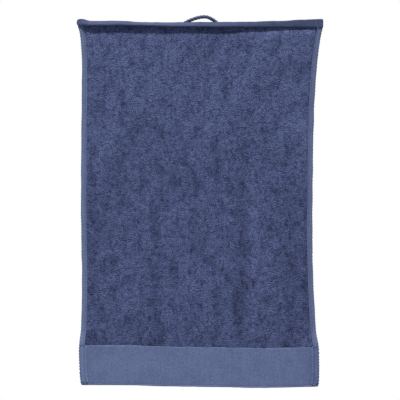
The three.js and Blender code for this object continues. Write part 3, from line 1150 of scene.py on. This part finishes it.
@dataclass
class TopHem:
    """The top edge, rolled over into a thick hem, with the stitches that hold it down."""

    cloth: Cloth
    line: HemLine
    back: float = 0.0023
    girth: float = 0.031
    reach: float = 0.2034
    stitch_pitch: float = 0.0042
    stitches: Stitches = Stitches(length=0.0030, width=0.0009, proud=0.0005)
    ridge_place: float = 0.0117  # these three are distances from the right end
    groove_place: float = 0.0094
    end_block: float = 0.0055

    # Share of the height from the top, and share of the front where it is rolled and where it is flat.
    FRONT = ((0.00, 0.00, 0.10), (0.02, 0.16, 0.48), (0.05, 0.28, 0.74), (0.10, 0.38, 0.88),
             (0.17, 0.47, 0.95), (0.26, 0.57, 0.98), (0.36, 0.67, 1.0), (0.48, 0.78, 1.0),
             (0.60, 0.87, 1.0), (0.72, 0.94, 1.0), (0.82, 0.98, 1.0), (0.90, 1.0, 0.99),
             (0.96, 0.95, 0.92), (0.99, 0.80, 0.74), (1.0, 0.55, 0.45), (1.0, 0.20, 0.15))
    # The same down the back: share of the height, and share of the thickness behind.
    REAR = ((0.99, 0.30), (0.96, 0.70), (0.88, 0.94), (0.70, 1.0), (0.50, 1.0), (0.30, 0.97),
            (0.14, 0.85), (0.06, 0.62), (0.02, 0.38))

    def build(self) -> list[bpy.types.Object]:
        """Make the roll and its stitches."""
        pieces = [self.roll(), self.seam()]
        for piece in pieces:
            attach(piece, Body.UPPER.value)
        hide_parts("top_hem")
        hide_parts("top_hem_stitching")
        return pieces

    def roll(self) -> bpy.types.Object:
        """Make the rolled cloth, with its square folded end on the right and soft one on the left."""
        reach = self.reach
        x = np.concatenate([
            np.linspace(-reach, -reach + 0.004, 9)[:-1],
            np.linspace(-reach + 0.004, reach - 0.016, 260)[:-1], np.linspace(reach - 0.016, reach, 41),
        ])
        upper, lower = self.line.upper.at(x), self.line.lower.at(x)
        to_end = np.minimum(x + reach, reach - x)
        soft_end, square_end = round_end(to_end, 0.003), round_end(to_end, 0.0012)
        end = np.where(x < 0, 0.35 + 0.65 * soft_end, 0.55 + 0.45 * square_end)
        middle, half = 0.5 * (upper + lower), 0.5 * (upper - lower) * end
        from_right = reach - x
        ridge = 0.0014 * bell(from_right - self.ridge_place, 0.0010)
        groove = 0.0016 * bell(from_right - self.groove_place, 0.0008)
        front = (self.line.front.at(x) + ridge - groove) * end
        tilt = self.line.tilt.at(x)[:, None]
        down, rolled, flat = (column[None, :] for column in np.array(self.FRONT).T)
        ahead = -front[:, None] * (rolled * tilt + flat * (1.0 - tilt))
        down_back, lift_back = (column[None, :] for column in np.array(self.REAR).T)
        behind = lift_back * self.back * end[:, None]
        y = np.concatenate([ahead, behind], axis=1)
        share = np.concatenate([down, down_back], axis=1)
        z = middle[:, None] + (1.0 - 2.0 * share) * half[:, None]
        flat_z = 1.0 - 2.0 * share[0]
        sides = y.shape[1]
        across = np.repeat(x[:, None], sides, axis=1)
        pucker = Unevenness(0.009, seed=31, stretch=0.7).at(across, z) * 0.00022
        pucker += Unevenness(0.003, seed=32).at(across, z) * 0.00008
        y = y * (1.0 + pucker / 0.004) + self.cloth.drape.at(across, 0.006)
        rings = np.stack([across, y, z + pucker * flat_z[None, :]], axis=-1)
        girth = np.linspace(0.0, self.girth, sides + 1)
        # The turn number is painted shade along the roll's top edge, weaker towards the right, at both
        # ends and in the groove of the folded end.
        turn = smooth_step(flat_z, 0.55, 0.80)[None, :] * np.ones_like(across)
        ends = 1.0 - smooth_step(to_end, 0.0006, 0.0016)
        ends = ends + 0.55 * bell(from_right - self.groove_place, 0.0009)
        turn = turn * (1.0 - 0.5 * smooth_step(x, 0.06, 0.14))[:, None]
        # Painted highlights on the ridge and the end block of the folded end, over a broad tone along the
        # roll.
        lift = self.line.tone.at(x) + 0.7 * bell(from_right - self.ridge_place, 0.0010)
        lift += 0.4 * bell(from_right - self.end_block, 0.0025)
        lift = lift[:, None] * np.ones_like(across)
        turn = np.maximum(turn, ends[:, None])
        mesh = swept_mesh(rings, girth, x, {"turn": turn, "lift": lift})
        swap_uv(mesh)
        return finish_object("rolled_top_edge", mesh, self.cloth.finishes.roll)

    def seam(self) -> bpy.types.Object:
        """Make the stitches of both faces, just under the roll."""
        x = np.arange(-self.reach + 0.016, self.reach - 0.018, self.stitch_pitch)
        depth = self.cloth.outline.height(x, 0.0) - self.line.lower.at(x) + 0.0006
        mesh = self.cloth.sewn(self.stitches, x, depth, (0.0012, 0.0013))
        return finish_object("top_edge_stitches", mesh, self.cloth.finishes.thread)


def swap_uv(mesh: bpy.types.Mesh) -> None:
    """Swap the two numbers of the mesh's UV map."""
    layer = mesh.uv_layers[CLOTH_UV]
    numbers = np.empty(len(mesh.loops) * 2, np.float32)
    layer.data.foreach_get("uv", numbers)
    layer.data.foreach_set("uv", numbers.reshape(-1, 2)[:, ::-1].ravel())


@dataclass
class BorderEnd:
    """The flat woven band at the foot, with the overlocked bottom edge and its seam."""

    cloth: Cloth
    rib: float = 0.0016
    half_thickness: float = 0.00066
    hem_width: float = 0.0122
    hem_overlap: float = 0.0015
    foot_height: float = 0.0030
    loop_pitch: float = 0.0027
    stitch_pitch: float = 0.0030
    stitches: Stitches = Stitches(length=0.0024, width=0.0008, proud=0.00045)
    tone: Curve = Curve((
        (-204, -100), (-165, 0), (-140, 130), (-108, 120), (-84, 0), (50, 20), (58, -120), (66, -60),
        (73, 110), (82, -20), (150, -60), (204, -220)), ease=9)

    def build(self) -> list[bpy.types.Object]:
        """Make the band, the overlocked edge and its seam."""
        pieces = [self.band(), self.overlocked_edge(), self.seam()]
        for piece in pieces:
            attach(piece, Body.LOWER.value)
        for piece, node, slot in zip(pieces, ("woven_border", "bottom_hem", "bottom_hem_stitching"),
                                     ("flat_weave", "hem_cloth", "sewing_thread")):
            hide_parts(node)
        return pieces

    def band(self) -> bpy.types.Object:
        """Make the ribbed band."""
        outline = self.cloth.outline
        down = np.linspace(outline.border_depth - 0.003, outline.length - 0.0018, 56)
        mesh, share, depth, layer = Strip(np.linspace(0.0, 1.0, 481), down).mesh()
        x, from_left, from_right = outline.between(share, depth, self.hem_width - self.hem_overlap)
        face = 2 * layer - 1
        ribs = 0.00012 * np.sin(2 * math.pi * x / self.rib)
        blotch = 0.00010 * Unevenness(0.016, seed=41).at(x, depth)
        tucked = 0.35 + 0.65 * smooth_step(np.minimum(from_left, from_right), 0.0, 0.003)
        tucked *= 0.2 + 0.8 * smooth_step(depth, outline.border_depth - 0.0026, outline.border_depth)
        out = face * (self.half_thickness * tucked + ribs * tucked + blotch * face)
        write_points(mesh, self.cloth.place(x, depth, out))
        write_uv(mesh, x, depth)
        # Painted shade beside the side hems, deeper and wider on the right.
        shade = 0.20 * np.exp(-from_left / 0.004) + 0.35 * np.exp(-from_right / 0.008)
        seam_line = 0.45 * bell(depth - outline.length + self.foot_height + 0.0006, 0.0008)
        write_value(mesh, "turn", np.clip(shade + seam_line, 0.0, 1.0))
        write_value(mesh, "lift", self.tone.at(x))
        return finish_object("ribbed_flat_border", outward(mesh), self.cloth.finishes.border)

    def overlocked_edge(self) -> bpy.types.Object:
        """Make the bottom edge, wrapped in thread loops that leave it scalloped."""
        outline = self.cloth.outline
        bottom = outline.length
        left, right = (float(outline.inset(side, bottom, 0.0006)) for side in Side)
        x = np.linspace(left, right, round((right - left) / (self.loop_pitch / 5)) + 1)
        angle = np.linspace(0.0, 2.0 * math.pi, 12, endpoint=False)
        loops = np.abs(np.sin(math.pi * x / self.loop_pitch))
        loops = 0.84 + 0.20 * loops + 0.10 * Unevenness(0.008, seed=51).at(x, x * 0)
        end = 0.35 + 0.65 * round_end(np.minimum(x - left, right - x), 0.0018)
        size = (loops * end)[:, None]
        across = np.repeat(x[:, None], len(angle), axis=1)
        depth = bottom - 0.5 * self.foot_height - np.sin(angle)[None, :] * 0.5 * self.foot_height * size
        rings = self.cloth.place(across, depth, np.cos(angle)[None, :] * 0.00115 * size)
        girth = np.linspace(0.0, 0.008, len(angle) + 1)
        # Painted shade in the gaps between the thread loops.
        gaps = 1.0 - np.abs(np.sin(math.pi * x / self.loop_pitch))
        turn = 0.30 * gaps[:, None] * np.ones_like(across)
        mesh = swept_mesh(rings, girth, x, {"turn": turn})
        swap_uv(mesh)
        return finish_object("overlocked_bottom_edge", mesh, self.cloth.finishes.hem)

    def seam(self) -> bpy.types.Object:
        """Make the seam above the overlocked edge, on both faces."""
        outline = self.cloth.outline
        bottom = outline.length
        left = float(outline.inset(Side.LEFT, bottom, 0.014))
        right = float(outline.inset(Side.RIGHT, bottom, 0.013))
        x = np.arange(left, right, self.stitch_pitch)
        mesh = self.cloth.sewn(self.stitches, x, bottom - self.foot_height - 0.0005, (0.0006, 0.0006))
        return finish_object("bottom_edge_stitches", mesh, self.cloth.finishes.thread)


@dataclass
class BarTack:
    """A dense bar of stitches that locks a corner, on both faces, leaning to and fro."""

    cloth: Cloth
    node: str
    body: Body
    out: float
    pitch: float = 0.00085
    lean: float = 0.0007

    def build(self) -> bpy.types.Object:
        """Make the bar where the CAD model has it."""
        low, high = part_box(self.node)
        centre = 0.5 * (low + high)
        size = high - low
        x = np.arange(low.x + 0.5 * self.pitch, high.x, self.pitch)
        stitches = Stitches(length=size.z * 1.05, width=self.pitch * 1.15, proud=0.0005)
        depth = self.cloth.outline.height(centre.x, 0.0) - centre.z
        along = np.stack([np.resize([self.lean, -self.lean], len(x)), np.zeros(len(x)),
                          np.full(len(x), size.z)], axis=1)
        mesh = self.cloth.sewn(stitches, x, depth, (self.out, self.out), along)
        piece = finish_object(f"{self.node.replace('_corner', '')}_stitches", mesh,
                              self.cloth.finishes.tack)
        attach(piece, self.body.value)
        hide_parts(self.node)
        return piece


# ---------------------------------------------------------------------------------------------
# The hanging loop
# ---------------------------------------------------------------------------------------------
@dataclass
class HangingLoop:
    """The cord loop: three strands laid together, sewn flat behind the hem at both ends."""

    finishes: Finishes
    diameter: float = 0.0062
    mean_diameter: float = 0.0056  # between the crowns of the strands and the grooves
    strand_radius: float = 0.00168
    flat_y: float = 0.42  # how the sewn ends are squeezed and spread
    flat_x: float = 1.35
    lay_pitch: float = 0.0165
    spacing: float = 0.0007

    # The route of the cord's middle from its left hinge to its right one, in mm.
    ROUTE = ((-29.2, 5.5, -11.2), (-28.1, 5.5, -10.1), (-26.3, 5.4, -8.8), (-23.8, 5.2, -7.2),
             (-20.3, 4.6, -5.3), (-16.3, 3.7, -3.5), (-12.2, 2.8, -2.0), (-7.9, 1.9, -0.6),
             (-3.6, 1.1, 0.6), (0.7, 0.6, 1.4), (5.2, 0.4, 1.9), (9.8, 0.7, 1.8), (14.2, 1.6, 0.8),
             (18.3, 2.8, -1.0), (21.9, 3.9, -3.0), (24.9, 4.7, -5.0), (27.2, 5.2, -7.0),
             (28.7, 5.5, -9.0), (29.2, 5.5, -10.8))
    TAIL = ((29.5, 5.2, -12.6), (29.5, 4.4, -15.0), (29.4, 3.9, -17.6), (29.2, 3.7, -20.4))

    def build(self) -> list[bpy.types.Object]:
        """Make the cord and the bars of stitches that hold its ends."""
        left = [(-x, y, z) for x, y, z in reversed(self.TAIL)]
        path = smooth_path(np.array([*left, *self.ROUTE, *self.TAIL]) * MM, self.spacing)
        cord = finish_object("twisted_cord_loop", self.strands(path), self.finishes.cord)
        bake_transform(cord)
        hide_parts("hanging_loop", "left_loop_end", "right_loop_end")
        return [cord, *(self.end_stitches(side) for side in Side)]

    def strands(self, path: np.ndarray) -> bpy.types.Mesh:
        """Make the cord's three strands, each a helix about its middle."""
        normals, binormals = path_frames(path)
        walked = np.arange(len(path)) * np.linalg.norm(path[1] - path[0])
        offset = 0.5 * self.diameter - self.strand_radius
        meshes = []
        for strand in range(3):
            turn = 2.0 * math.pi * (walked / self.lay_pitch + strand / 3.0)
            helix = path + offset * (
                np.cos(turn)[:, None] * normals + np.sin(turn)[:, None] * binormals
            )
            meshes.append(thread_mesh(helix, self.strand_radius, 12, self.pressed(path)))
        return joined(meshes)

    def pressed(self, path: np.ndarray) -> Callable[[np.ndarray], np.ndarray]:
        """Return what presses the sewn ends of the cord flat against the cloth."""

        def press(rings: np.ndarray) -> np.ndarray:
            """Squeeze the rings along Y and spread them along X, more towards the ends."""
            share = (1.0 - smooth_step(path[:, 2], -0.0165, -0.0125))[:, None]
            result = rings.copy()
            middle = path[:, None, :]
            for axis, flat in ((1, self.flat_y), (0, self.flat_x)):
                result[..., axis] = middle[..., axis] + (rings[..., axis] - middle[..., axis]) * (
                    1.0 + (flat - 1.0) * share)
            return result

        return press

    def end_stitches(self, side: Side, pitch: float = 0.0008) -> bpy.types.Object:
        """Make the bar of stitches over one end of the cord."""
        node = f"{side.name.lower()}_loop_tack"
        low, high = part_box(node)
        centre, size = 0.5 * (low + high), high - low
        x = np.arange(low.x + 0.5 * pitch, high.x, pitch)
        off = (x - centre.x) / (0.5 * size.x)
        y = high.y - 0.0004 - 0.0019 * smooth_step(np.abs(off), 0.55, 1.0)
        places = np.stack([x, y, np.full(len(x), centre.z)], axis=1)
        along = np.tile([0.0, 0.0, 1.0], (len(x), 1))
        normals = np.stack([0.5 * off**3, np.ones(len(x)), np.zeros(len(x))], axis=1)
        stitches = Stitches(length=size.z * 1.15, width=pitch * 1.15, proud=0.0006)
        piece = finish_object(f"{side.name.lower()}_cord_end_stitches",
                              stitches.mesh(places, along, normals), self.finishes.thread)
        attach(piece, Body.UPPER.value)
        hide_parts(node)
        return piece


# ---------------------------------------------------------------------------------------------
# The studio
# ---------------------------------------------------------------------------------------------
@dataclass(frozen=True)
class Studio:
    """The camera, the pale floor and the soft light round the towel."""

    view_width: float = 0.660
    distance: float = 3.0
    view_centre: float = -0.3003
    sensor: float = 36.0
    floor_height: float = -1.2
    fill: float = 0.38
    fill_tint: str = "#eaf2ff"
    key: float = 8.4
    key_elevation: float = 77.0
    key_turn: float = -6.0
    key_softness: float = 5.0
    back: float = 1.6
    back_elevation: float = 40.0
    back_turn: float = 160.0
    back_softness: float = 25.0

    def build_camera(self) -> None:
        """Make the level camera in front of the towel."""
        camera = bpy.data.cameras.new("camera")
        camera.sensor_width = self.sensor
        camera.lens = self.sensor * self.distance / self.view_width
        holder = bpy.data.objects.new("camera", camera)
        holder.location = (0.0, -self.distance, self.view_centre)
        holder.rotation_euler = (math.radians(90.0), 0.0, 0.0)
        bpy.context.scene.collection.objects.link(holder)
        bpy.context.scene.camera = holder

    def build(self) -> None:
        """Make the floor, the world and the lamps."""
        self._floor()
        self._world()
        self._sun("key_light", self.key, self.key_elevation, self.key_turn, self.key_softness)
        self._sun("back_light", self.back, self.back_elevation, self.back_turn, self.back_softness)

    def _floor(self, radius: float = 5.0) -> None:
        """Make the round pale floor."""
        bm = bmesh.new()
        bmesh.ops.create_circle(bm, cap_ends=True, segments=96, radius=radius,
                                matrix=Matrix.Translation((0.0, 0.0, self.floor_height)))
        material = bpy.data.materials.new("matt white paper")
        material.use_nodes = True
        shader = material.node_tree.nodes["Principled BSDF"]
        shader.inputs["Base Color"].default_value = linear("#f2f2f2")
        shader.inputs["Roughness"].default_value = 0.9
        floor = finish_object("floor", taken_over(bm), material, smooth=False)
        floor.visible_diffuse = False  # it throws no light back up, so the hem keeps its shadow

    def _world(self) -> None:
        """Make the surroundings: white to the camera, and a softer even light on the towel."""
        world = bpy.data.worlds.new("surroundings")
        bpy.context.scene.world = world
        world.use_nodes = True
        tree = world.node_tree
        tree.nodes.clear()
        seen = add_node(tree, "LightPath").outputs["Is Camera Ray"]
        strength = reckoned(tree, "MULTIPLY_ADD", seen, 1.0 - self.fill, self.fill)
        tint = add_node(tree, "Mix", {"Factor": seen, 6: linear(self.fill_tint), 7: linear("#ffffff")},
                        data_type="RGBA").outputs[2]
        background = add_node(tree, "Background", {"Color": tint, "Strength": strength})
        add_node(tree, "OutputWorld", {"Surface": background.outputs["Background"]})

    def _sun(self, name: str, strength: float, elevation: float, turn: float, softness: float) -> None:
        """Add a soft sun.

        Args:
            name: Its name.
            strength: Its strength.
            elevation: Its height above the horizon in degrees.
            turn: Its direction in degrees, 0 in front of the towel and growing to the right.
            softness: How wide it looks in degrees.
        """
        lamp = bpy.data.lights.new(name, "SUN")
        lamp.energy, lamp.angle = strength, math.radians(softness)
        holder = bpy.data.objects.new(name, lamp)
        up, round_ = math.radians(elevation), math.radians(turn)
        level = math.cos(up)
        towards = Vector((level * math.sin(round_), -level * math.cos(round_), math.sin(up)))
        holder.rotation_euler = towards.to_track_quat("Z", "Y").to_euler()
        bpy.context.scene.collection.objects.link(holder)


def main() -> None:
    """Build the towel piece by piece, then its studio."""
    logging.basicConfig(level=logging.INFO, format="%(message)s")
    bpy.context.scene.view_settings.view_transform = "Standard"
    studio = Studio()
    studio.build_camera()
    finishes = Finishes()
    pieces = HangingLoop(finishes).build()
    outline = Outline()
    cloth = Cloth(outline, Drape(outline), finishes)
    hem_line = HemLine()
    terry = TerryField(cloth, hem_line).build()
    edges = [*TopHem(cloth, hem_line).build(), *BorderEnd(cloth).build()]
    for side in Side:
        edges += SideHem(cloth, side).build()
    for end, body, out in (("top", Body.UPPER, 0.0014), ("bottom", Body.LOWER, 0.00095)):
        for side in Side:
            edges.append(BarTack(cloth, f"{end}_{side.name.lower()}_corner_tack", body, out).build())
    LOG.info("pieces: %d", len(pieces) + len(terry) + len(edges))
    studio.build()


if __name__ == "__main__":
    main()
